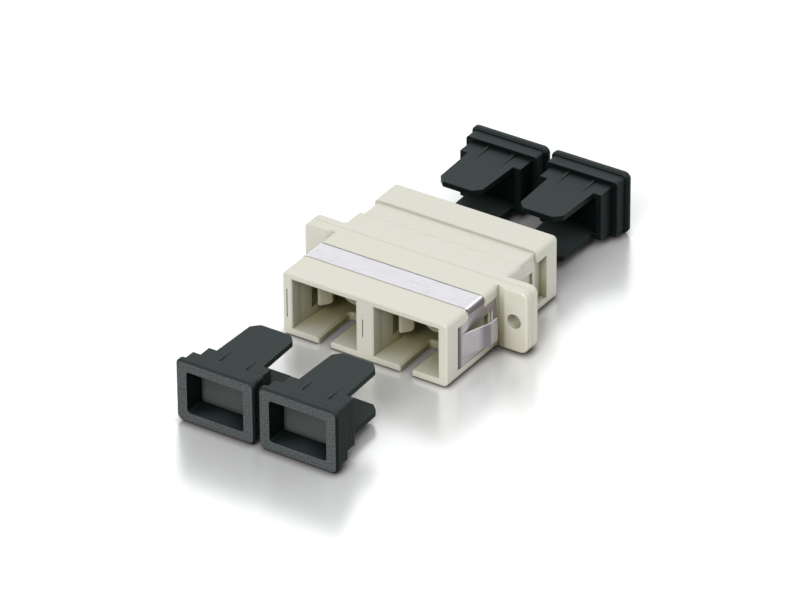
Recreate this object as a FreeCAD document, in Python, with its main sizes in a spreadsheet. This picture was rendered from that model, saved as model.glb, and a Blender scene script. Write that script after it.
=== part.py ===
"""Duplex SC fibre adapter with its four dust caps, as one parametric document.

Two equal mouldings, turned back to back, meet on the plane Y = 0 through the screw
ears. Each holds two latch holders, whose hooks and half barrels face its ports, and
each pair of half barrels shares one split alignment sleeve. A wrap-over spring clip
snaps round the front moulding. The dust caps stand pulled straight out of the ports.

Frame: X across the two ports, Y along them with the clip's end at -Y, Z up. The
origin is on the underside, on the plane where the two mouldings meet.
"""
import FreeCAD, Part
import math
import os
import re

import Sketcher
from FreeCAD import Placement, Rotation, Vector

SIZES = (
    # alias, millimetres, meaning
    ("body_wide", 25.5, "housing across both ports"),
    ("body_tall", 9.4, "housing height"),
    ("half_long", 13.4, "one moulding, from its mouth to the meeting plane"),
    ("body_round", 0.6, "radius of the long outer edges"),
    ("mouth_bevel", 0.16, "bevel round the mouth face and round each port's mouth"),
    ("floor_thick", 1.03, "housing wall under the ports"),
    ("roof_thick", 0.93, "housing wall over the ports"),
    ("side_wall", 1.4, "housing wall beside a port's mouth"),
    ("middle_wall", 2.7, "wall between the two ports' mouths"),
    ("mouth_deep", 2.2, "depth of the straight mouth"),
    ("lead_in", 0.45, "how far the lead-in narrows the port on each side"),
    ("lead_in_deep", 5.5, "depth where the lead-in reaches the inner width"),
    ("seat_side", 0.6, "seat of a latch holder, cut into each side of the port"),
    ("seat_step", 0.23, "seat of a latch holder, cut into the floor and the roof"),
    ("seat_deep", 1.3, "seat of a latch holder, depth from the meeting plane"),
    ("hook_room_start", 4.3, "depth where the room beside the hooks begins"),
    ("hook_room_deep", 0.5, "how far that room is cut into each side wall"),
    ("hook_room_margin", 1.17, "from that room to the port's floor and roof"),
    ("key_wide", 1.8, "key slot width"),
    ("key_long", 7.4, "key slot length from the mouth"),
    ("key_end_round", 0.5, "radius in the corners of the key slot's closed end"),
    ("key_bevel", 0.3, "bevel along the key slot's upper edges"),
    ("key_flare", 0.2, "how far the key slot's mouth flares to each side"),
    ("band_start", 4.8, "clip band groove, from the mouth face"),
    ("band_wide", 4.1, "clip band groove, width"),
    ("band_deep", 0.36, "clip band groove, depth in the top"),
    ("band_side_deep", 0.48, "clip band groove, depth in the sides"),
    ("band_round", 0.3, "radius of the groove floor at the corners"),
    ("leg_start", 2.6, "clip leg recess, from the mouth face"),
    ("leg_low", 1.3, "clip leg recess, lower edge"),
    ("leg_drop", 1.68, "clip leg recess, upper edge below the housing's top"),
    ("leg_deep", 0.36, "clip leg recess, depth"),
    ("edge_room_wide", 0.5, "bottom of the room for the clip leg's turned-in edge, width"),
    ("edge_room_deep", 1.1, "that room, depth from the side"),
    ("edge_room_slope", 2.1, "length over which that room runs out towards the leg recess"),
    ("spring_room_front", 1.6, "room behind the spring, behind the clip window's front edge"),
    ("spring_room_rear", 0.6, "room behind the spring, short of the clip window's rear edge"),
    ("spring_room_deep", 0.85, "room behind the spring, depth from the side"),
    ("spring_room_margin", 0.15, "how far that room reaches above and below the clip window"),
    ("ear_span", 34.7, "across both screw ears"),
    ("ear_thick", 1.4, "one moulding's share of the ear thickness"),
    ("ear_inset", 0.15, "ear's lower edge above the housing's underside"),
    ("ear_round", 1.05, "ear corner radius"),
    ("ear_edge_bevel", 0.2, "bevel round the ear's face"),
    ("ear_relief_wide", 1.15, "shallow relief beside the housing, width"),
    ("ear_relief_deep", 0.32, "shallow relief beside the housing, depth"),
    ("ear_seam_bevel", 0.07, "bevel along the ear seam"),
    ("screw_out", 0.325, "screw hole, outward of the middle of its ear"),
    ("screw_radius", 1.05, "screw hole radius"),
    ("mark_wide", 0.16, "shut-off marks on the mouth face, width"),
    ("mark_deep", 0.15, "shut-off marks on the mouth face, depth"),
    ("side_mark_tall", 4.3, "outer mark, length"),
    ("side_mark_in", 0.65, "outer mark, in from the housing's side"),
    ("mid_mark_tall", 2.7, "middle mark, length"),
    ("mid_mark_off", 0.28, "middle mark, from the middle"),
    ("fit_gap", 0.05, "gap of a seated piece on each side"),
    ("arm_gap", 0.6, "between a holder's arm and the port's side wall"),
    ("arm_thick", 0.8, "arm thickness"),
    ("arm_tall", 4.0, "arm height"),
    ("hook_deep", 4.5, "hook tips behind the mouth face"),
    ("hook_nose", 0.4, "flat nose of a hook"),
    ("hook_reach", 0.65, "how far a hook stands in from its arm"),
    ("hook_ramp", 1.3, "length of the hook's ramp"),
    ("hook_land", 0.4, "flat of the hook"),
    ("hook_catch", 0.2, "length of the hook's catching slope"),
    ("hook_round", 0.4, "radius of the hook's inner corners"),
    ("barrel_radius", 2.2, "half barrel, outer radius"),
    ("barrel_long", 6.4, "half barrel, from the meeting plane"),
    ("barrel_bevel", 0.3, "bevel of the barrel's end"),
    ("lip_thick", 0.4, "lip that keeps the sleeve in"),
    ("lip_radius", 1.45, "opening in the lip, radius"),
    ("sleeve_radius", 1.6, "alignment sleeve, outer radius"),
    ("sleeve_bore", 1.25, "alignment sleeve, bore radius"),
    ("sleeve_long", 11.8, "alignment sleeve, length"),
    ("sleeve_slit", 0.3, "slit along the sleeve"),
    ("clip_thick", 0.3, "spring clip sheet"),
    ("clip_gap", 0.03, "clip to groove floor"),
    ("clip_shoulder", 0.14, "how far the clip's corner stands out over its leg"),
    ("shoulder_drop", 1.25, "lower end of the clip's corner below the housing's top"),
    ("shoulder_fall", 0.3, "height over which the corner steps in to the leg"),
    ("clip_edge_deep", 0.85, "turned-in edge of the leg, from the leg's outer face"),
    ("clip_edge_round", 0.62, "outer bend radius of that edge"),
    ("leg_rear_gap", 0.15, "leg to the ear face"),
    ("window_start", 3.75, "clip window, from the mouth face"),
    ("window_rear", 0.85, "clip window to the leg's rear edge"),
    ("window_low", 2.65, "clip window, lower edge"),
    ("window_drop", 3.15, "clip window, upper edge below the housing's top"),
    ("spring_gap", 0.125, "spring tongue to the window's upper and lower edges"),
    ("spring_short", 1.3, "spring tongue's end, short of the window's rear edge"),
    ("spring_out", 1.62, "how far the spring tongue stands out at its fold"),
    ("tip_long", 1.6, "spring tip beyond the fold, along the side"),
    ("cap_gap", 0.6, "between the rims of two dust caps side by side"),
    ("cap_short", 0.1, "how much lower the dust cap rim is than the housing"),
    ("cap_rim_thick", 1.1, "dust cap rim, thickness"),
    ("cap_round", 0.9, "dust cap corner radius"),
    ("cap_edge_bevel", 0.28, "bevel round the dust cap's rim, on both faces"),
    ("collar_in", 0.45, "collar behind the rim, set in all round"),
    ("collar_thick", 1.9, "collar thickness"),
    ("plug_side_gap", 0.2, "plug to the mouth's side walls"),
    ("plug_high_gap", 0.21, "plug to the port's top and bottom"),
    ("plug_long", 2.8, "plug length"),
    ("plug_wall", 0.8, "plug side wall behind the web"),
    ("plug_hollow", 1.4, "depth of the plug's open back"),
    ("recess_wall", 0.43, "wall between the recess in the cap's face and the plug's sides"),
    ("recess_deep", 3.4, "recess in the cap's face, depth"),
    ("recess_round", 0.45, "recess corner radius"),
    ("tongue_in", 1.2, "tongue set in from the plug's side"),
    ("tongue_long", 8.2, "tongue beyond the plug"),
    ("tongue_thick", 0.8, "tongue thickness"),
    ("tongue_taper", 0.25, "how much narrower each side is at the tip"),
    ("tongue_corner", 1.05, "cut corner of the tongue's tip"),
    ("tongue_corner_round", 0.6, "radius that softens that corner"),
    ("rib_off", 2.03, "grip ribs, from the cap's middle"),
    ("rib_wide", 0.4, "grip rib, width"),
    ("rib_tall", 0.18, "grip rib, height where it starts"),
    ("rib_long", 3.9, "grip rib, length from the collar"),
    ("front_pull", 22.0, "front dust caps, collar to mouth face at rest"),
    ("rear_pull", 16.4, "rear dust caps, collar to mouth face at rest"),
    ("overcut", 1.0, "how far a cutting profile runs past the solid"),
)
NEAR = 1e-4  # two lengths closer than this are equal

doc = FreeCAD.newDocument("fibre_adapter")
sheet = doc.addObject("Spreadsheet::Sheet", "Sizes")
for row, (alias, millimetres, meaning) in enumerate(SIZES, start=1):
    sheet.set(f"A{row}", meaning)
    sheet.set(f"B{row}", str(millimetres))
    sheet.setAlias(f"B{row}", alias)
doc.recompute()
ALIASES = {alias for alias, _, _ in SIZES}
value = sheet.get

MOUTH_WIDE = "((body_wide - 2 * side_wall - middle_wall) / 2)"
PORT_WIDE = f"({MOUTH_WIDE} - 2 * lead_in)"
PORT_SIDE = "((body_wide - 2 * side_wall + middle_wall) / 4)"
SEAT_WIDE = f"({PORT_WIDE} + 2 * seat_side)"
CAP_WIDE = f"(2 * {PORT_SIDE} - cap_gap)"
PORT_TALL = "(body_tall - floor_thick - roof_thick)"
PORT_AXIS_HIGH = "((body_tall + floor_thick - roof_thick) / 2)"
SCREW_SIDE = "((body_wide + ear_span) / 4 + screw_out)"
LEG_HIGH = "(body_tall - leg_drop)"
LEG_REAR = "(ear_thick + leg_rear_gap)"
WINDOW_FRONT = "(half_long - window_start)"
WINDOW_REAR = f"({LEG_REAR} + window_rear)"
WINDOW_HIGH = "(body_tall - window_drop)"
CAP_TALL = "(body_tall - cap_short)"
PORT_SIDES = (("left", -1), ("right", 1))
ENDS = (("front", 0), ("rear", 180))  # name, turn about Z in degrees


def bound(text):
    """A length in terms of the sheet's aliases, as an expression."""
    return re.sub(r"[a-z_]+", lambda word: f"Sizes.{word[0]}" if word[0] in ALIASES else word[0], text)


def new_body(label, turn=0, place=("0", "0", "0")):
    """A body named after its piece, at a place given in the sheet's terms."""
    body = doc.addObject("PartDesign::Body", label)
    body.Label = label
    body.Placement = Placement(Vector(), Rotation(Vector(0, 0, 1), turn))
    for axis, text in zip("xyz", place):
        body.setExpression(f"Placement.Base.{axis}", bound(text))
    return body


def origin_plane(body, role):
    return next(item for item in body.Origin.OriginFeatures if item.Role == role)


def new_sketch(body, name, role, lift):
    """An empty sketch parallel to one of the body's origin planes."""
    sketch = body.newObject("Sketcher::SketchObject", name)
    sketch.AttachmentSupport = [(origin_plane(body, role), "")]
    sketch.MapMode = "FlatFace"
    sketch.setExpression("AttachmentOffset.Base.z", bound(lift))
    return sketch


def pin_point(sketch, geometry, point, place):
    """Fix a point of the sketch at a place given in the sheet's terms."""
    for kind, text in zip(("DistanceX", "DistanceY"), place):
        index = sketch.addConstraint(Sketcher.Constraint(kind, -1, 1, geometry, point, 1.0))
        sketch.setExpression(f"Constraints[{index}]", bound(text))


def polygon_sketch(body, name, role, lift, *loops):
    """Closed outlines, each a run of corners given in the sheet's terms."""
    sketch = new_sketch(body, name, role, lift)
    for corners in loops:
        count = len(corners)
        first = sketch.GeometryCount
        turns = [2 * math.pi * step / count for step in range(count)]
        rough = [Vector(math.cos(turn), math.sin(turn), 0) for turn in turns]
        for step in range(count):
            sketch.addGeometry(Part.LineSegment(rough[step], rough[(step + 1) % count]))
        for step in range(count):
            following = first + (step + 1) % count
            sketch.addConstraint(Sketcher.Constraint("Coincident", first + step, 2, following, 1))
            pin_point(sketch, first + step, 1, corners[step])
    return sketch


def circle_sketch(body, name, role, lift, *circles):
    """Circles, each a centre and a radius in the sheet's terms."""
    sketch = new_sketch(body, name, role, lift)
    for across, along, radius in circles:
        index = sketch.addGeometry(Part.Circle(Vector(), Vector(0, 0, 1), 1.0))
        pin_point(sketch, index, 3, (across, along))
        size = sketch.addConstraint(Sketcher.Constraint("Radius", index, 1.0))
        sketch.setExpression(f"Constraints[{size}]", bound(radius))
    return sketch


def rectangle(left, low, right, high):
    return ((left, low), (right, low), (right, high), (left, high))


def mirrored_loop(corners):
    """The same outline on the other side of the sketch's vertical axis."""
    return tuple((f"-({across})", along) for across, along in corners)


def settled(feature):
    """Recompute the document and make sure that the feature built."""
    doc.recompute()
    if "Invalid" in feature.State or "Error" in feature.State:
        raise RuntimeError(f"{feature.Label} did not build")
    return feature


def pad(body, name, sketch, length, symmetric=False):
    """Material added along the sketch's normal."""
    feature = body.newObject("PartDesign::Pad", name)
    feature.Profile = sketch
    feature.setExpression("Length", bound(length))
    feature.SideType = "Symmetric" if symmetric else "One side"
    return settled(feature)


def pocket(body, name, sketch, length, forward=False):
    """Material cut back from the sketch, or forward along its normal; it has to remove some."""
    before = body.Shape.Volume
    feature = body.newObject("PartDesign::Pocket", name)
    feature.Profile = sketch
    feature.setExpression("Length", bound(length))
    feature.Reversed = forward
    settled(feature)
    if body.Shape.Volume > before - NEAR:
        raise RuntimeError(f"{body.Label}: {name} cuts nothing")
    return feature


def dress(body, kind, name, size, wanted):
    """A Fillet or Chamfer on each edge of the body for which wanted(edge, middle) holds."""
    base = body.Tip
    edges = base.Shape.Edges
    chosen = [f"Edge{index}" for index, edge in enumerate(edges, start=1)
              if wanted(edge, edge.CenterOfMass)]
    feature_size = {"Fillet": "Radius", "Chamfer": "Size"}[kind]
    feature = body.newObject(f"PartDesign::{kind}", name)
    feature.Base = (base, chosen)
    feature.setExpression(feature_size, bound(size))
    return settled(feature)


def runs_along(edge, axis):
    """Whether a straight edge is parallel to one of the frame's axes."""
    start, end = edge.firstVertex().Point, edge.lastVertex().Point
    span = end - start
    return abs(abs(getattr(span, axis)) - edge.Length) < NEAR and edge.Length > NEAR


def mirror(body, name, role, originals):
    feature = body.newObject("PartDesign::Mirrored", name)
    feature.Originals = originals
    feature.MirrorPlane = (origin_plane(body, role), [""])
    body.Tip = feature
    return settled(feature)


# --- one moulding of the housing, its mouth towards -Y; sketches are lifted towards it


def port_place_and_width():
    """A port's distance from the middle and its width at the mouth, in millimetres."""
    across_ports = value("body_wide") - 2 * value("side_wall")
    return (across_ports + value("middle_wall")) / 4, (across_ports - value("middle_wall")) / 2


def add_block_and_ears(body):
    half_wide = "body_wide / 2"
    block = polygon_sketch(body, "block_outline", "XZ_Plane", "0",
                           rectangle(f"-{half_wide}", "0", half_wide, "body_tall"))
    pad(body, "block", block, "half_long")
    dress(body, "Fillet", "long_edges", "body_round", lambda edge, middle: runs_along(edge, "y"))
    dress(body, "Chamfer", "mouth_edges", "mouth_bevel",
          lambda edge, middle: abs(middle.y + value("half_long")) < NEAR)
    ears = polygon_sketch(body, "ear_outline", "XZ_Plane", "0",
                          rectangle("-ear_span / 2", "ear_inset", "ear_span / 2", "body_tall"))
    pad(body, "ears", ears, "ear_thick")
    ear_side = value("ear_span") / 2
    dress(body, "Fillet", "ear_corners", "ear_round",
          lambda edge, middle: runs_along(edge, "y") and abs(abs(middle.x) - ear_side) < NEAR)
    relief = (("body_wide / 2", "-ear_thick"),
              ("body_wide / 2 + ear_relief_wide", "-ear_thick"),
              ("body_wide / 2", "-(ear_thick - ear_relief_deep)"))
    pocket(body, "ear_relief",
           polygon_sketch(body, "ear_relief_outline", "XY_Plane", "0", relief, mirrored_loop(relief)),
           "body_tall", forward=True)
    past_relief = value("body_wide") / 2 + value("ear_relief_wide") - NEAR
    dress(body, "Chamfer", "ear_face_edges", "ear_edge_bevel",
          lambda edge, middle: abs(middle.y + value("ear_thick")) < NEAR
          and abs(middle.x) > past_relief and not runs_along(edge, "z")
          or abs(middle.y + value("ear_thick")) < NEAR and abs(abs(middle.x) - ear_side) < NEAR)
    dress(body, "Chamfer", "ear_seam", "ear_seam_bevel",
          lambda edge, middle: abs(middle.y) < NEAR and abs(middle.x) > value("body_wide") / 2 + NEAR)
    holes = circle_sketch(body, "screw_hole_circles", "XZ_Plane", "ear_thick",
                          (f"-{SCREW_SIDE}", PORT_AXIS_HIGH, "screw_radius"),
                          (SCREW_SIDE, PORT_AXIS_HIGH, "screw_radius"))
    pocket(body, "screw_holes", holes, "ear_thick")


def add_clip_grooves(body):
    past_side = "body_wide / 2 + overcut"
    floor_side = "body_wide / 2 - band_side_deep"
    floor_top = "body_tall - band_deep"
    band = ((f"-({past_side})", "leg_low"), (f"-({past_side})", "body_tall + overcut"),
            (past_side, "body_tall + overcut"), (past_side, "leg_low"),
            (floor_side, "leg_low"), (floor_side, floor_top),
            (f"-({floor_side})", floor_top), (f"-({floor_side})", "leg_low"))
    pocket(body, "band_groove",
           polygon_sketch(body, "band_outline", "XZ_Plane", "half_long - band_start", band),
           "band_wide")
    side, top = value("body_wide") / 2 - value("band_side_deep"), value("body_tall") - value("band_deep")
    dress(body, "Fillet", "band_corners", "band_round",
          lambda edge, middle: runs_along(edge, "y")
          and abs(abs(middle.x) - side) < NEAR and abs(middle.z - top) < NEAR)
    cuts = (
        ("leg_recess", "half_long - leg_start", "half_long - leg_start - ear_thick",
         "leg_deep", "leg_low", LEG_HIGH),
        ("spring_room", f"{WINDOW_FRONT} - spring_room_front",
         f"{WINDOW_FRONT} - spring_room_front - {WINDOW_REAR} - spring_room_rear",
         "spring_room_deep", "window_low - spring_room_margin", f"{WINDOW_HIGH} + spring_room_margin"),
    )
    for name, lift, length, deep, low, high in cuts:
        loop = rectangle(f"body_wide / 2 - {deep}", low, past_side, high)
        outline = polygon_sketch(body, f"{name}_outline", "XZ_Plane", lift, loop, mirrored_loop(loop))
        pocket(body, name, outline, length)

    front = "-(half_long - leg_start)"
    room = ((past_side, front), (past_side, f"{front} + edge_room_wide + edge_room_slope"),
            ("body_wide / 2 - leg_deep", f"{front} + edge_room_wide + edge_room_slope"),
            ("body_wide / 2 - edge_room_deep", f"{front} + edge_room_wide"),
            ("body_wide / 2 - edge_room_deep", front))
    pocket(body, "edge_room",
           polygon_sketch(body, "edge_room_plan", "XY_Plane", "leg_low", room, mirrored_loop(room)),
           f"{LEG_HIGH} - leg_low", forward=True)


def add_ports(body):
    plans, seats, rooms, keys = [], [], [], []
    for _, side in PORT_SIDES:
        axis = f"{side} * {PORT_SIDE}"
        past_mouth = "-(half_long + overcut)"
        straight_end = "-(half_long - mouth_deep)"
        lead_end = "-(half_long - lead_in_deep)"
        plans.append(((f"{axis} - {MOUTH_WIDE} / 2", past_mouth), (f"{axis} + {MOUTH_WIDE} / 2", past_mouth),
                      (f"{axis} + {MOUTH_WIDE} / 2", straight_end), (f"{axis} + {PORT_WIDE} / 2", lead_end),
                      (f"{axis} + {PORT_WIDE} / 2", "overcut"), (f"{axis} - {PORT_WIDE} / 2", "overcut"),
                      (f"{axis} - {PORT_WIDE} / 2", lead_end), (f"{axis} - {MOUTH_WIDE} / 2", straight_end)))
        seats.append(rectangle(f"{axis} - {SEAT_WIDE} / 2", "floor_thick - seat_step",
                               f"{axis} + {SEAT_WIDE} / 2", "body_tall - roof_thick + seat_step"))
        rooms.append(rectangle(f"{axis} - {PORT_WIDE} / 2 - hook_room_deep",
                               "floor_thick + hook_room_margin",
                               f"{axis} + {PORT_WIDE} / 2 + hook_room_deep",
                               "body_tall - roof_thick - hook_room_margin"))
        key_side = (("key_wide / 2", "-(half_long - key_long)"),
                    ("key_wide / 2", "-(half_long - key_flare)"),
                    ("key_wide / 2 + key_flare", "-half_long"), ("key_wide / 2 + key_flare", past_mouth))
        keys.append((*((f"{axis} + {across}", along) for across, along in key_side),
                     *((f"{axis} - ({across})", along) for across, along in reversed(key_side))))
    pocket(body, "ports", polygon_sketch(body, "port_plans", "XY_Plane", "floor_thick", *plans),
           PORT_TALL, forward=True)
    pocket(body, "holder_seats", polygon_sketch(body, "seat_outlines", "XZ_Plane", "seat_deep", *seats),
           "seat_deep")
    pocket(body, "hook_rooms",
           polygon_sketch(body, "hook_room_outlines", "XZ_Plane", "half_long - hook_room_start", *rooms),
           "half_long - hook_room_start")
    pocket(body, "key_slots", polygon_sketch(body, "key_outlines", "XY_Plane", "0", *keys),
           "floor_thick", forward=True)
    floor = value("floor_thick")
    mouth = -value("half_long")
    key_end = mouth + value("key_long")
    port_side, mouth_wide = port_place_and_width()

    def beside_key(middle):
        return abs(abs(middle.x) - port_side) < value("key_wide") / 2 + NEAR

    dress(body, "Fillet", "key_end_corners", "key_end_round",
          lambda edge, middle: runs_along(edge, "z") and beside_key(middle)
          and abs(middle.y - key_end) < NEAR)
    dress(body, "Chamfer", "key_edges", "key_bevel",
          lambda edge, middle: abs(middle.z - floor) < NEAR and beside_key(middle)
          and middle.y < key_end + NEAR and not abs(middle.y - mouth) < NEAR)
    dress(body, "Chamfer", "port_mouth_edges", "mouth_bevel",
          lambda edge, middle: abs(middle.y - mouth) < NEAR and middle.z > floor + NEAR
          and abs(abs(middle.x) - port_side) < mouth_wide / 2 + NEAR)


def add_face_marks(body):
    marks = [rectangle(f"-{off} - mark_wide / 2", f"{PORT_AXIS_HIGH} - {tall} / 2",
                       f"-{off} + mark_wide / 2", f"{PORT_AXIS_HIGH} + {tall} / 2")
             for off, tall in (("(body_wide / 2 - side_mark_in)", "side_mark_tall"),
                               ("mid_mark_off", "mid_mark_tall"))]
    pocket(body, "face_marks", polygon_sketch(body, "mark_outlines", "XZ_Plane", "half_long", *marks),
           "mark_deep")


def make_housing(label, turn):
    body = new_body(label, turn)
    add_block_and_ears(body)
    add_clip_grooves(body)
    add_ports(body)
    add_face_marks(body)


# --- a latch holder, on its port's axis: seat flange, half barrel and two hooked arms


def make_latch_holder(label, side, turn):
    body = new_body(label, turn, (f"{side} * {PORT_SIDE}", "0", PORT_AXIS_HIGH))
    flange_wide, flange_tall = f"({SEAT_WIDE} / 2 - fit_gap)", f"({PORT_TALL} / 2 + seat_step - fit_gap)"
    flange = polygon_sketch(body, "flange_outline", "XZ_Plane", "0",
                            rectangle(f"-{flange_wide}", f"-{flange_tall}", flange_wide, flange_tall))
    pad(body, "flange", flange, "seat_deep - fit_gap")
    bore = circle_sketch(body, "bore_circle", "XZ_Plane", "0", ("0", "0", "sleeve_radius + fit_gap"))
    pocket(body, "flange_bore", bore, "seat_deep", forward=True)

    bore_radius = "sleeve_radius + fit_gap"
    wall = ((bore_radius, "0"), ("barrel_radius", "0"), ("barrel_radius", "-(barrel_long - barrel_bevel)"),
            ("barrel_radius - barrel_bevel", "-barrel_long"), ("lip_radius", "-barrel_long"),
            ("lip_radius", "-(barrel_long - lip_thick)"), (bore_radius, "-(barrel_long - lip_thick)"))
    barrel = body.newObject("PartDesign::Revolution", "half_barrel")
    barrel.Profile = polygon_sketch(body, "barrel_wall", "XY_Plane", "0", wall)
    barrel.ReferenceAxis = (origin_plane(body, "Y_Axis"), [""])
    barrel.Angle = 360
    settled(barrel)

    outer = f"({PORT_WIDE} / 2 - arm_gap)"
    inner = f"({outer} - arm_thick)"
    tip = "-(half_long - hook_deep)"
    ramp_end = "-(half_long - hook_deep - hook_ramp)"
    land_end = "-(half_long - hook_deep - hook_ramp - hook_land)"
    catch_end = "-(half_long - hook_deep - hook_ramp - hook_land - hook_catch)"
    arm = ((outer, "0"), (outer, tip), (f"{outer} - hook_nose", tip), (f"{inner} - hook_reach", ramp_end),
           (f"{inner} - hook_reach", land_end), (inner, catch_end), (inner, "0"))
    right_arm = pad(body, "right_arm", polygon_sketch(body, "arm_plan", "XY_Plane", "-arm_tall / 2", arm),
                    "arm_tall")
    mirror(body, "left_arm", "YZ_Plane", [right_arm])
    port_half_wide = port_place_and_width()[1] / 2 - value("lead_in")
    land = port_half_wide - value("arm_gap") - value("arm_thick") - value("hook_reach")
    dress(body, "Fillet", "hook_corners", "hook_round",
          lambda edge, middle: runs_along(edge, "y") and abs(abs(middle.x) - land) < NEAR)


# --- a split alignment sleeve, shared by the two half barrels of one port


def make_sleeve(label, side):
    body = new_body(label, 0, (f"{side} * {PORT_SIDE}", "0", PORT_AXIS_HIGH))
    ring = circle_sketch(body, "ring", "XZ_Plane", "-sleeve_long / 2",
                         ("0", "0", "sleeve_radius"), ("0", "0", "sleeve_bore"))
    pad(body, "tube", ring, "sleeve_long")
    slit = polygon_sketch(body, "slit_outline", "XZ_Plane", "sleeve_long / 2",
                          rectangle("-sleeve_slit / 2", "0", "sleeve_slit / 2", "sleeve_radius + overcut"))
    pocket(body, "slit", slit, "sleeve_long")


# --- the spring clip: one folded sheet, over the top and down both sides of the front moulding


def make_spring_clip(label):
    body = new_body(label)
    leg_inner = "(body_wide / 2 - leg_deep + clip_gap)"
    leg_outer = f"({leg_inner} + clip_thick)"
    top_inner = "(body_tall - band_deep + clip_gap)"
    top_outer = f"({top_inner} + clip_thick)"
    low = "(leg_low + clip_gap)"
    shoulder = "(body_tall - shoulder_drop)"
    step_in = f"({shoulder} - shoulder_fall)"
    outer_run = ((leg_outer, low), (leg_outer, step_in), (f"{leg_outer} + clip_shoulder", shoulder),
                 (f"{leg_outer} + clip_shoulder", top_outer))
    inner_run = ((f"{leg_inner} + clip_shoulder", top_inner), (f"{leg_inner} + clip_shoulder", shoulder),
                 (leg_inner, step_in), (leg_inner, low))
    strip = (*outer_run, *reversed(mirrored_loop(outer_run)),
             *reversed(mirrored_loop(inner_run)), *inner_run)
    strip_end = "half_long - band_start - band_wide + fit_gap"
    pad(body, "band", polygon_sketch(body, "band_section", "XZ_Plane", strip_end, strip),
        "band_wide - 2 * fit_gap")

    leg_front = "-(half_long - leg_start - fit_gap)"
    high = f"({LEG_HIGH} - clip_gap)"
    plate = polygon_sketch(body, "leg_outline", "YZ_Plane", leg_inner,
                           rectangle(leg_front, low, f"-{LEG_REAR}", high))
    leg = pad(body, "leg", plate, "clip_thick")
    edge = polygon_sketch(body, "edge_plan", "XY_Plane", low,
                          rectangle(f"{leg_outer} - clip_edge_deep", leg_front,
                                    leg_outer, f"{leg_front} + clip_thick"))
    turned_edge = pad(body, "turned_edge", edge, f"{high} - {low}")
    opening = polygon_sketch(body, "window_outline", "YZ_Plane", f"{leg_outer} + overcut",
                             rectangle(f"-{WINDOW_FRONT}", "window_low", f"-{WINDOW_REAR}", WINDOW_HIGH))
    window = pocket(body, "window", opening, "clip_thick + overcut + clip_gap")

    root = f"-{WINDOW_FRONT}"
    tip = f"-({WINDOW_REAR} + spring_short)"
    fold = f"({tip} - tip_long)"
    fold_out = f"{leg_outer} + spring_out"
    tongue = ((leg_outer, f"{root} - clip_thick"), (leg_outer, root), (fold_out, fold), (fold_out, tip),
              (f"{fold_out} - clip_thick", tip), (f"{fold_out} - clip_thick", fold),
              (leg_inner, root), (leg_inner, f"{root} - clip_thick"))
    spring = pad(body, "spring",
                 polygon_sketch(body, "spring_plan", "XY_Plane", "window_low + spring_gap", tongue),
                 f"{WINDOW_HIGH} - window_low - 2 * spring_gap")
    mirror(body, "left_leg", "YZ_Plane", [leg, turned_edge, window, spring])

    outer_side = value("body_wide") / 2 - value("leg_deep") + value("clip_gap") + value("clip_thick")
    shoulder_side = outer_side + value("clip_shoulder")
    top = value("body_tall") - value("band_deep") + value("clip_gap") + value("clip_thick")
    front = -(value("half_long") - value("leg_start") - value("fit_gap"))
    sheet_thick = value("clip_thick")
    dress(body, "Fillet", "outer_bends", "band_round + clip_gap + clip_thick",
          lambda edge, middle: runs_along(edge, "y")
          and abs(abs(middle.x) - shoulder_side) < NEAR and abs(middle.z - top) < NEAR)
    dress(body, "Fillet", "inner_bends", "band_round + clip_gap",
          lambda edge, middle: runs_along(edge, "y")
          and abs(abs(middle.x) - shoulder_side + sheet_thick) < NEAR
          and abs(middle.z - top + sheet_thick) < NEAR)
    dress(body, "Fillet", "outer_edge_bends", "clip_edge_round",
          lambda edge, middle: runs_along(edge, "z")
          and abs(abs(middle.x) - outer_side) < NEAR and abs(middle.y - front) < NEAR)
    dress(body, "Fillet", "inner_edge_bends", "clip_edge_round - clip_thick",
          lambda edge, middle: runs_along(edge, "z")
          and abs(abs(middle.x) - outer_side + sheet_thick) < NEAR
          and abs(middle.y - front - sheet_thick) < NEAR)


# --- a dust cap: its collar's inner face at the origin, its rim towards -Y, its tongues towards +Y


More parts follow.
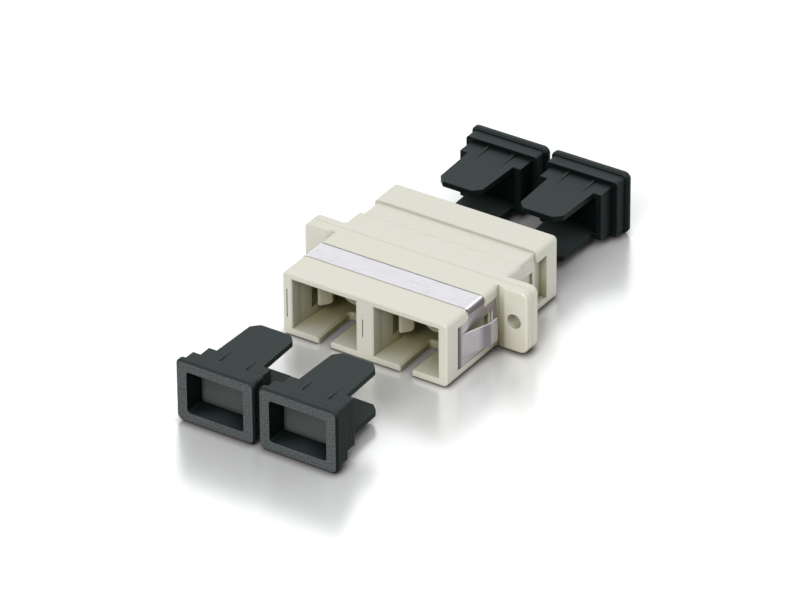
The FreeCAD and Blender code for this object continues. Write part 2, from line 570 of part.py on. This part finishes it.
def make_dust_cap(label, side, turn, pull):
    outward = -1 if turn == 0 else 1
    place = (f"{side} * {PORT_SIDE}", f"{outward} * (half_long + {pull})", PORT_AXIS_HIGH)
    body = new_body(label, turn, place)

    def slab(name, half_wide, half_tall, lift, thick):
        outline = polygon_sketch(body, f"{name}_outline", "XZ_Plane", lift,
                                 rectangle(f"-({half_wide})", f"-({half_tall})", half_wide, half_tall))
        return pad(body, name, outline, thick)

    plug_half_wide = f"({MOUTH_WIDE} / 2 - plug_side_gap)"
    plug_half_tall = f"({PORT_TALL} / 2 - plug_high_gap)"
    slab("collar", f"{CAP_WIDE} / 2 - collar_in", f"{CAP_TALL} / 2 - collar_in", "0", "collar_thick")
    dress(body, "Fillet", "collar_corners", "cap_round - collar_in",
          lambda edge, middle: runs_along(edge, "y"))
    slab("rim", f"{CAP_WIDE} / 2", f"{CAP_TALL} / 2", "collar_thick", "cap_rim_thick")
    port_side, mouth_wide = port_place_and_width()
    rim_side = port_side - value("cap_gap") / 2
    rim_top = (value("body_tall") - value("cap_short")) / 2
    dress(body, "Fillet", "rim_corners", "cap_round",
          lambda edge, middle: runs_along(edge, "y") and abs(abs(middle.x) - rim_side) < NEAR)
    dress(body, "Chamfer", "rim_edges", "cap_edge_bevel",
          lambda edge, middle: not runs_along(edge, "y")
          and (abs(abs(middle.x) - rim_side) < NEAR or abs(abs(middle.z) - rim_top) < NEAR))
    slab("plug", plug_half_wide, plug_half_tall, "-plug_long", "plug_long")
    recess_wide = f"({plug_half_wide} - recess_wall)"
    recess_tall = f"({plug_half_tall} - recess_wall)"
    recess = polygon_sketch(body, "recess_outline", "XZ_Plane", "collar_thick + cap_rim_thick",
                            rectangle(f"-{recess_wide}", f"-{recess_tall}", recess_wide, recess_tall))
    pocket(body, "recess", recess, "recess_deep")
    recess_side = mouth_wide / 2 - value("plug_side_gap") - value("recess_wall")
    dress(body, "Fillet", "recess_corners", "recess_round",
          lambda edge, middle: runs_along(edge, "y") and abs(abs(middle.x) - recess_side) < NEAR)
    back_wide = f"({plug_half_wide} - plug_wall)"
    back_tall = f"({plug_half_tall} - tongue_thick)"
    back = polygon_sketch(body, "open_back_outline", "XZ_Plane", "-plug_long",
                          rectangle(f"-{back_wide}", f"-{back_tall}", back_wide, back_tall))
    pocket(body, "open_back", back, "plug_hollow", forward=True)

    root = f"({plug_half_wide} - tongue_in)"
    tip = f"({root} - tongue_taper)"
    tongue_right = ((root, "plug_long - overcut"), (root, "plug_long"),
                    (tip, "plug_long + tongue_long - tongue_corner"),
                    (f"{tip} - tongue_corner", "plug_long + tongue_long"))
    plan = (*tongue_right, *reversed(mirrored_loop(tongue_right)))
    tongue = pad(body, "upper_tongue",
                 polygon_sketch(body, "tongue_plan", "XY_Plane", back_tall, plan), "tongue_thick")
    ribs = []
    for rib_name, rib_side in (("left_rib", -1), ("right_rib", 1)):
        wedge = (("0", f"{plug_half_tall} - rib_tall"), ("rib_long", f"{plug_half_tall} - rib_tall"),
                 ("rib_long", plug_half_tall), ("0", f"{plug_half_tall} + rib_tall"))
        side_view = polygon_sketch(body, f"{rib_name}_outline", "YZ_Plane", f"{rib_side} * rib_off", wedge)
        ribs.append(pad(body, rib_name, side_view, "rib_wide", symmetric=True))
    mirror(body, "lower_tongue", "XY_Plane", [tongue, *ribs])
    corner_start = value("plug_long") + value("tongue_long") - value("tongue_corner")
    dress(body, "Fillet", "tongue_corners", "tongue_corner_round",
          lambda edge, middle: runs_along(edge, "z") and middle.y > corner_start - NEAR)


for end, end_turn in ENDS:
    make_housing(f"{end}_housing", end_turn)
    for port, port_side in PORT_SIDES:
        make_latch_holder(f"{port}_{end}_latch_holder", port_side, end_turn)
        make_dust_cap(f"{port}_{end}_dust_cap", port_side, end_turn, f"{end}_pull")
for port, port_side in PORT_SIDES:
    make_sleeve(f"{port}_alignment_sleeve", port_side)
make_spring_clip("spring_clip")
doc.recompute()

for item in doc.Objects:
    if "Invalid" in item.State or "Error" in item.State:
        raise RuntimeError(f"{item.Label} did not build: {item.State}")
bodies = [item for item in doc.Objects if item.TypeId == "PartDesign::Body"]
for body in bodies:
    if body.Shape.isNull() or not body.Shape.isValid() or len(body.Shape.Solids) != 1:
        raise RuntimeError(f"{body.Label} is not one valid solid")

os.makedirs("parts", exist_ok=True)
for body in bodies:
    body.Shape.exportStep(f"parts/{body.Label}.step")
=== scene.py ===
"""Studio look of the duplex fibre adapter: its finishes, the floor, the lights and the camera.

Lengths are in metres in the frame of the CAD model: X across the two ports, Y along
them with the spring clip's end at -Y, Z up, and the floor just under Z = 0.
"""

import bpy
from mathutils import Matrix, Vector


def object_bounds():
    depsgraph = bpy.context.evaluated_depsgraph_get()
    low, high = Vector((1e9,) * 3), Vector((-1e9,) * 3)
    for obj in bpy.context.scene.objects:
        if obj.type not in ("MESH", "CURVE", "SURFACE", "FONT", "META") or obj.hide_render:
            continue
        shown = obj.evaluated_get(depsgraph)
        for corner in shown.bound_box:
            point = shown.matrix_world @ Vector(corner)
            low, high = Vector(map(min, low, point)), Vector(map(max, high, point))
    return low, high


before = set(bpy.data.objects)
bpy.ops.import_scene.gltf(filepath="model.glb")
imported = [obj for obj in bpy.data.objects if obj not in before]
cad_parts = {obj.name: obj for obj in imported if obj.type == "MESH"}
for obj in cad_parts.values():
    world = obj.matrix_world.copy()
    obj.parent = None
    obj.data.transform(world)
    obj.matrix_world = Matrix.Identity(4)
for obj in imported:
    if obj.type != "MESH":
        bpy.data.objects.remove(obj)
cad_box = [list(corner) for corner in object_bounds()]

import math

import bpy
import numpy as np
from mathutils import Matrix, Vector

MM = 0.001
EDGE_SAMPLES = 6  # rays of each node that feels for edges and walls
ROOM = 12.0  # millimetres: walls nearer than this shut a place in
scene = bpy.context.scene


# --- shader maths


class Field:
    """A number that changes over a surface. Arithmetic on it adds Math nodes."""

    def __init__(self, tree, socket):
        self.tree = tree
        self.socket = socket

    def worked(self, operation, *inputs):
        node = self.tree.node("ShaderNodeMath", {"operation": operation}, *inputs)
        return Field(self.tree, node.outputs[0])

    def __add__(self, other):
        return self.worked("ADD", self, other)

    def __sub__(self, other):
        return self.worked("SUBTRACT", self, other)

    def __rsub__(self, other):
        return self.worked("SUBTRACT", other, self)

    def __mul__(self, other):
        return self.worked("MULTIPLY", self, other)

    def __abs__(self):
        return self.worked("ABSOLUTE", self)

    __radd__ = __add__
    __rmul__ = __mul__


class Tree:
    """The nodes of one material or world."""

    def __init__(self, owner):
        owner.use_nodes = True
        self.nodes = owner.node_tree.nodes
        self.links = owner.node_tree.links
        self.nodes.clear()

    def node(self, kind, settings=None, *inputs, **named):
        """A node of that kind: its settings first, then its sockets in order or by name."""
        node = self.nodes.new(kind)
        for name, setting in (settings or {}).items():
            setattr(node, name, setting)
        for index, value in enumerate(inputs):
            self.put(node.inputs[index], value)
        for name, value in named.items():
            self.put(node.inputs[name.replace("_", " ")], value)
        return node

    def put(self, socket, value):
        """Link a value that changes over the surface to a socket, or set a constant there."""
        if isinstance(value, Field):
            self.links.new(value.socket, socket)
        elif isinstance(value, bpy.types.NodeSocket):
            self.links.new(value, socket)
        elif value is not None:
            socket.default_value = (*value, 1) if socket.type == "RGBA" and len(value) == 3 else value

    def place(self, stretch=(1, 1, 1)):
        """The point of the surface in millimetres, drawn out along an axis where stretch is above 1."""
        point = self.node("ShaderNodeTexCoord").outputs["Object"]
        scale = tuple(1 / (MM * along) for along in stretch)
        return self.node("ShaderNodeMapping", None, point, Scale=scale).outputs[0]

    def along(self, axis):
        """The surface's X, Y or Z in millimetres."""
        point = self.node("ShaderNodeTexCoord").outputs["Object"]
        return Field(self, self.node("ShaderNodeSeparateXYZ", None, point).outputs[axis]) * (1 / MM)

    def grain(self, size, detail=2.0, stretch=(1, 1, 1), rough=0.55):
        """Noise about 0, from -0.5 to 0.5, whose features are about size millimetres across."""
        noise = self.node("ShaderNodeTexNoise", None, self.place(stretch),
                          Scale=1 / size, Detail=detail, Roughness=rough)
        return Field(self, noise.outputs[0]) - 0.5

    def ramp(self, value, low, high, to_low=0.0, to_high=1.0):
        """value's range low to high, carried smoothly to another range and held beyond it."""
        node = self.node("ShaderNodeMapRange", {"interpolation_type": "SMOOTHSTEP"},
                         value, low, high, to_low, to_high)
        return Field(self, node.outputs[0])

    def blend(self, share, first, second):
        """Two colours mixed, share of the second."""
        node = self.node("ShaderNodeMix", {"data_type": "RGBA"}, share)
        self.put(node.inputs[6], first)
        self.put(node.inputs[7], second)
        return node.outputs[2]

    def tint(self, colour, amount):
        """The colour made lighter or darker by a share that changes over the surface."""
        lighter = self.node("ShaderNodeVectorMath", {"operation": "SCALE"}, colour)
        self.put(lighter.inputs["Scale"], 1 + amount)
        return lighter.outputs[0]

    def heading(self, axis):
        """How squarely the surface faces along an axis: -1 for backwards to 1."""
        normal = self.node("ShaderNodeNewGeometry").outputs["True Normal"]
        return Field(self, self.node("ShaderNodeSeparateXYZ", None, normal).outputs[axis])

    def facing(self, axis):
        """How squarely the surface faces along an axis, either way: 0 to 1."""
        return abs(self.heading(axis))

    def softened(self, radius):
        """The normal rounded over edges by a radius in millimetres; ridges 0 to 1 for painted highlight,
        creases 0 to 1 for painted shade.
        """
        rounded = self.node("ShaderNodeBevel", {"samples": EDGE_SAMPLES}, radius * MM).outputs[0]
        flat = self.node("ShaderNodeNewGeometry").outputs["True Normal"]
        same = self.node("ShaderNodeVectorMath", {"operation": "DOT_PRODUCT"}, rounded, flat)
        # Painted highlight on ridges where the rounded normal turns from the flat one, and painted shade
        # in creases that walls close by shut in.
        edge = self.ramp(Field(self, same.outputs["Value"]), 1.0, 0.8)
        crease_shade = self.shelter(4 * radius, unhidden=0.9, hidden=0.55)
        return rounded, edge * (1 - crease_shade), crease_shade

    def shelter(self, reach, unhidden, hidden):
        """How shut in the surface is by walls within reach millimetres, 0 to 1.

        It is 0 where the open share of the directions is unhidden, and 1 where it is hidden.
        """
        node = self.node("ShaderNodeAmbientOcclusion", {"samples": EDGE_SAMPLES}, Distance=reach * MM)
        return self.ramp(Field(self, node.outputs["AO"]), unhidden, hidden)

    def finish(self, colour, roughness, height, normal, metallic=0.0, **constants):
        """One Principled surface; height in millimetres raises the surface over the given normal."""
        bump = self.node("ShaderNodeBump", None, Strength=1.0, Distance=MM, Height=height, Normal=normal)
        surface = self.node("ShaderNodeBsdfPrincipled", None, Base_Color=colour, Roughness=roughness,
                            Metallic=metallic, Normal=bump.outputs[0], **constants)
        self.node("ShaderNodeOutputMaterial", None, surface.outputs[0])


def new_material(name):
    material = bpy.data.materials.new(name)
    return material, Tree(material)


# --- finishes


def moulded_beige(name, colour, shade):
    """Beige engineering plastic, satin from a polished mould, with faint polishing lines and flow,
    painted highlight on ridges and painted shade in creases and shut-in places.
    """
    material, tree = new_material(name)
    rounded, ridge_glint, crease_shade = tree.softened(0.08)
    cloud = tree.grain(5.0, 3.0)
    speck = tree.grain(0.22, 2.0)
    lines = tree.grain(0.28, 3.0, stretch=(1, 1, 14)) * tree.facing("Y")
    flow = tree.grain(0.5, 3.0, stretch=(9, 1, 1)) * tree.facing("Z")
    # Random cloud, specks, polishing lines and flow, with painted highlight on ridges and painted shade
    # in creases.
    tone = shade * cloud + 0.05 * speck + 0.05 * lines + 0.03 * flow + 0.24 * ridge_glint - 0.25 * crease_shade
    warmer = tuple(part * share for part, share in zip(colour, (1.0, 0.985, 0.95)))
    warm = tree.blend(tree.ramp(cloud, -0.2, 0.25), colour, warmer)
    # Painted shade: places shut in by walls, such as the ports, darken towards a dark olive.
    shut_in = tree.shelter(ROOM, unhidden=0.48, hidden=0.08)
    recess_shaded = tree.blend(shut_in, warm, (0.195, 0.183, 0.070))
    roughness = 0.36 + 0.10 * cloud + 0.10 * speck - 0.06 * ridge_glint
    height = 0.0035 * speck + 0.004 * lines + 0.004 * flow + 0.02 * tree.grain(3.0, 1.0)
    tree.finish(tree.tint(recess_shaded, tone), roughness, height, rounded)
    return material


def strip_places(tree, points):
    """Where the folded strip lies flat on top, and the masks of its painted shade and painted highlights:
    seven fields, 0 to 1.

    points are the strip's vertices in millimetres. They give how far out it reaches in X, its
    front edge in Y, its top in Z, and the front and rear edge of the band that lies on top.
    """
    out, front, height_top = points[:, 0].max(), points[:, 1].min(), points[:, 2].max()
    on_top = points[:, 2] > height_top - 0.02
    band_front, band_rear = points[on_top, 1].min(), points[on_top, 1].max()
    middle, half = (band_rear + band_front) / 2, (band_rear - band_front) / 2
    top = tree.facing("Z")
    high = tree.along("Z")
    band = tree.ramp(high, height_top - 0.35, height_top - 0.15)
    side = 1 - band
    # These masks serve only painted light: painted shade along the band's long edges, on the turned-in
    # front edge, on the slanted outer part and below the top's turn; painted highlight where the strip
    # starts to turn down and on its cut edges.
    rims = tree.ramp(abs(tree.along("Y") - middle), half - 0.20, half - 0.08) * band
    bend_shade = tree.ramp(tree.along("Y"), front + 1.15, front + 0.45) * side
    slanted = tree.ramp(tree.facing("X"), 0.997, 0.98)
    fold_shade = tree.ramp(abs(tree.along("X")), out - 0.75, out - 0.3) * slanted
    shoulder_shade = tree.ramp(high, height_top - 1.05, height_top - 0.85) * tree.ramp(top, 0.9, 0.7)
    brow_highlight = tree.ramp(top, 0.85, 0.93) * tree.ramp(top, 0.999, 0.985)
    cut_edge_glint = side * (tree.ramp(top, 0.97, 0.99) + tree.ramp(tree.facing("Y"), 0.97, 0.99))
    return band, rims, bend_shade, fold_shade, shoulder_shade, brow_highlight, cut_edge_glint


def rolled_steel(name, points):
    """Stainless spring sheet: rolling lines along the strip and fine scratches, with painted highlight on
    cut edges and ridges, and painted shade at its turns, gap lines and creases.
    """
    material, tree = new_material(name)
    rounded, ridge_glint, crease_shade = tree.softened(0.12)
    band, rims, bend_shade, fold_shade, shoulder_shade, brow_highlight, cut_edge_glint = strip_places(tree, points)
    side = 1 - band
    top = tree.facing("Z")
    across_top = tree.grain(0.10, 3.0, stretch=(30, 1, 1)) * top
    down_legs = tree.grain(0.10, 3.0, stretch=(1, 1, 30)) * (1 - top)
    lines = across_top + down_legs
    cloud = tree.grain(2.5, 3.0)
    slant = math.radians(38)
    turned = tree.node("ShaderNodeMapping", None, tree.place(), Rotation=(0.0, 0.0, slant),
                       Scale=(0.12, 1.6, 1.6)).outputs[0]
    strokes = tree.node("ShaderNodeTexNoise", None, turned, Scale=3.2, Detail=2.0, Roughness=0.6)
    scratch = tree.ramp(Field(tree, strokes.outputs[0]), 0.60, 0.66)
    # The band is painted lighter and the legs darker, painted light and shade of one steel; the legs' two
    # colours mix at random.
    leg_shaded_dull, leg_shaded_bright, band_lit = (0.415, 0.388, 0.404), (0.475, 0.446, 0.461), (0.60, 0.585, 0.60)
    shaded_leg = tree.blend(tree.ramp(cloud, -0.25, 0.25), leg_shaded_dull, leg_shaded_bright)
    colour = tree.blend(band, shaded_leg, band_lit)
    # Rolling lines and scratches are the steel's own; painted highlight on the legs' ridges, painted
    # shade along the band's long edges and in creases.
    tone = 0.14 * lines - 0.10 * scratch + 0.3 * ridge_glint * side - 0.65 * rims - 0.3 * crease_shade
    # Painted highlight where the strip turns down from the band and on the cut edges; painted shade on
    # the shoulder, the turned-in front edge and the slanted outer part.
    tone = tone + 0.7 * brow_highlight + 1.5 * cut_edge_glint - 0.62 * shoulder_shade - 0.68 * bend_shade - 0.5 * fold_shade
    roughness = 0.31 + 0.10 * cloud + 0.16 * lines + 0.12 * scratch
    height = 0.004 * lines - 0.004 * scratch
    tree.finish(tree.tint(colour, tone), roughness, height, rounded, metallic=0.85)
    return material


def drawn_bronze(name):
    """Phosphor bronze tube, with drawing lines along it, a slight tarnish, painted highlight on ridges
    and painted shade in creases.
    """
    material, tree = new_material(name)
    rounded, ridge_glint, crease_shade = tree.softened(0.05)
    lines = tree.grain(0.08, 3.0, stretch=(1, 30, 1))
    clean, tarnished = (0.74, 0.53, 0.33), (0.50, 0.33, 0.20)
    tarnish = tree.ramp(tree.grain(1.5, 3.0), -0.1, 0.3)
    colour = tree.blend(tarnish, clean, tarnished)
    # Drawing lines, with painted highlight on ridges and painted shade in creases.
    tone = 0.1 * lines + 0.2 * ridge_glint - 0.3 * crease_shade
    roughness = 0.28 + 0.15 * lines + 0.12 * tarnish
    tree.finish(tree.tint(colour, tone), roughness, 0.003 * lines, rounded, metallic=1.0)
    return material


def grained_black(name, middle, half_span):
    """Soft black plastic: spark-eroded grain on the rims' outer faces, satin everywhere else, with
    painted light and shade by which way a face turns and painted shade in shut-in places and creases.

    The rims' outer faces lie half_span millimetres from the middle, at both ends of Y.
    """
    material, tree = new_material(name)
    rounded, ridge_glint, crease_shade = tree.softened(0.20)
    off_middle = tree.along("Y") - middle
    faces_out = tree.ramp(tree.heading("Y") * off_middle * (1 / half_span), 0.75, 0.85)
    rim = tree.ramp(abs(off_middle), half_span - 0.25, half_span - 0.1) * faces_out
    cloud = tree.grain(3.0, 3.0)
    speck = tree.grain(0.24, 3.0, rough=0.7)
    # Painted light and shade: flat tops lighter where open, darker where shut in.
    flat_and_open = tree.facing("Z") * (1 - tree.shelter(4.0, unhidden=0.85, hidden=0.55))
    # Painted light by facing: the X-facing sides darkest, flat tops lighter, faces turned out along Y
    # lightest.
    shaded_sides, lit_flats = (0.0035, 0.0072, 0.0068), (0.0290, 0.0370, 0.0360)
    lit_recess_back, lit_rim_face = (0.074, 0.081, 0.079), (0.064, 0.071, 0.071)
    # The colour here is painted light and shade by facing, not a finish of its own.
    satin = tree.blend(faces_out, tree.blend(flat_and_open, shaded_sides, lit_flats), lit_recess_back)
    colour = tree.blend(rim, satin, lit_rim_face)
    # Random cloud and specks and the rims' grain, with painted highlight on ridges and painted shade in
    # creases.
    tone = 0.16 * cloud + 0.25 * speck + (3.0 * rim) * speck + 0.8 * ridge_glint - 0.6 * crease_shade
    roughness = 0.46 + 0.10 * cloud + 0.18 * rim + 0.12 * speck
    height = (0.006 + 0.022 * rim) * speck
    tree.finish(tree.tint(colour, tone), roughness, height, rounded, Specular_IOR_Level=0.08)
    return material


def node_points(name):
    """The vertices of a CAD node, in millimetres, one row each."""
    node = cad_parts[name]
    return np.array([node.matrix_world @ vertex.co for vertex in node.data.vertices]) / MM


def dress_nodes():
    """Each CAD node takes the finish of its own material slot."""
    low, high = (corner[1] / MM for corner in cad_box)
    beige = moulded_beige("beige_housing", (0.586, 0.576, 0.498), 0.05)
    holder = moulded_beige("beige_latch_holder", (0.580, 0.566, 0.462), 0.07)
    steel = rolled_steel("spring_steel_sheet", node_points("spring_clip"))
    bronze = drawn_bronze("sleeve_bronze_tube")
    black = grained_black("black_cap_plastic", (low + high) / 2, (high - low) / 2)
    finishes = {"housing": beige, "latch_holder": holder, "spring_clip": steel,
                "alignment_sleeve": bronze, "dust_cap": black}
    for name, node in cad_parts.items():
        finish = next(finish for ending, finish in finishes.items() if name.endswith(ending))
        node.data.materials.clear()
        node.data.materials.append(finish)


# --- floor, light and camera


def add_floor():
    """A flat disc: x = r cos t, y = r sin t, with r in rings from inner to outer and t a full turn."""
    rings, turns = 24, 96
    inner, outer, drop = 0.1 * MM, 3000 * MM, 0.03 * MM
    radius = np.geomspace(inner, outer, rings)[:, None]
    turn = np.linspace(0, 2 * np.pi, turns, endpoint=False)[None, :]
    points = np.stack([radius * np.cos(turn), radius * np.sin(turn), np.full((rings, turns), -drop)], -1)
    index = np.arange(rings * turns).reshape(rings, turns)
    following = np.roll(index, -1, axis=1)
    quads = np.stack([index[:-1], following[:-1], following[1:], index[1:]], axis=-1).reshape(-1, 4)
    mesh = bpy.data.meshes.new("studio_floor")
    mesh.from_pydata(points.reshape(-1, 3).tolist(), [], quads.tolist())
    mesh.update()
    floor = bpy.data.objects.new("studio_floor", mesh)
    scene.collection.objects.link(floor)
    floor.data.materials.append(pale_gloss("pale_gloss_floor"))


def pale_gloss(name):
    """A white sheet with a soft gloss, with painted shadow where the object touches it or covers it."""
    material, tree = new_material(name)
    shadow_colour, open_sheet = (0.22, 0.185, 0.205), (0.87, 0.87, 0.865)
    cloud = tree.grain(40.0, 2.0)
    # Painted shadow: a dark contact line where the object touches, and a wider one where it covers the
    # sheet.
    touch = tree.shelter(1.4, unhidden=0.95, hidden=0.5)
    under = tree.shelter(ROOM, unhidden=0.45, hidden=0.1)
    unshadowed = (1 - 0.7 * touch) * (1 - 0.8 * under)
    colour = tree.tint(tree.blend(unshadowed, shadow_colour, open_sheet), 0.01 * cloud)
    flat = tree.node("ShaderNodeNewGeometry").outputs["Normal"]
    tree.finish(colour, 0.25 + 0.03 * cloud, 0.0, flat, metallic=0.40)
    return material


def add_area(name, place, size, power):
    """A square soft light at a place, turned to the object."""
    light = bpy.data.lights.new(name, "AREA")
    light.shape = "SQUARE"
    light.size = size
    light.energy = power
    lamp = bpy.data.objects.new(name, light)
    lamp.location = place
    lamp.rotation_euler = (-Vector(place)).to_track_quat("-Z", "Y").to_euler()
    scene.collection.objects.link(lamp)


def add_light():
    """A white room, brightest behind the object and dimmer low down, overhead and to the right."""
    world = bpy.data.worlds.new("studio_world")
    scene.world = world
    tree = Tree(world)
    toward = tree.node("ShaderNodeTexCoord").outputs["Generated"]
    right, back, high = (Field(tree, tree.node("ShaderNodeSeparateXYZ", None, toward).outputs[axis])
                         for axis in "XYZ")
    front_dim = tree.ramp(back, -0.1, 0.35, 0.95, 1.5)
    side_dim = tree.ramp(right, 0.25, 0.85, 1.0, 0.78)
    low_dim = tree.ramp(high, 0.05, 0.5, 0.45, 1.0)
    high_dim = tree.ramp(high, 0.6, 1.0, 1.0, 0.35)
    glow = tree.tint((0.975, 0.985, 1.0), front_dim * side_dim * low_dim * high_dim - 1)
    backdrop = tree.node("ShaderNodeBackground", None, glow)
    tree.node("ShaderNodeOutputWorld", None, backdrop.outputs[0])
    add_area("key_softbox", place=(0.10, -0.51, 0.46), size=0.35, power=3.2)


def add_camera():
    """Turned azimuth degrees from -Y towards +X, raised elevation degrees, rolled a little."""
    azimuth, elevation, roll = (math.radians(angle) for angle in (33.39, 31.56, -0.464))
    target = Vector((-0.186, -4.661, 4.6)) * MM
    distance = 851.2 * MM
    back = Vector((math.sin(azimuth) * math.cos(elevation), -math.cos(azimuth) * math.cos(elevation),
                   math.sin(elevation)))
    level_right = (-back).cross(Vector((0, 0, 1))).normalized()
    level_up = level_right.cross(-back)
    right = math.cos(roll) * level_right + math.sin(roll) * level_up
    up = math.cos(roll) * level_up - math.sin(roll) * level_right
    turn = Matrix((right, up, back)).transposed().to_4x4()
    data = bpy.data.cameras.new("studio_camera")
    data.lens = 292.96
    data.sensor_width = 36
    data.clip_start = 0.05
    data.clip_end = 20
    camera = bpy.data.objects.new("studio_camera", data)
    camera.matrix_world = Matrix.Translation(target + back * distance) @ turn
    scene.collection.objects.link(camera)
    scene.camera = camera


add_camera()
dress_nodes()
add_floor()
add_light()
scene.view_settings.view_transform = "Standard"
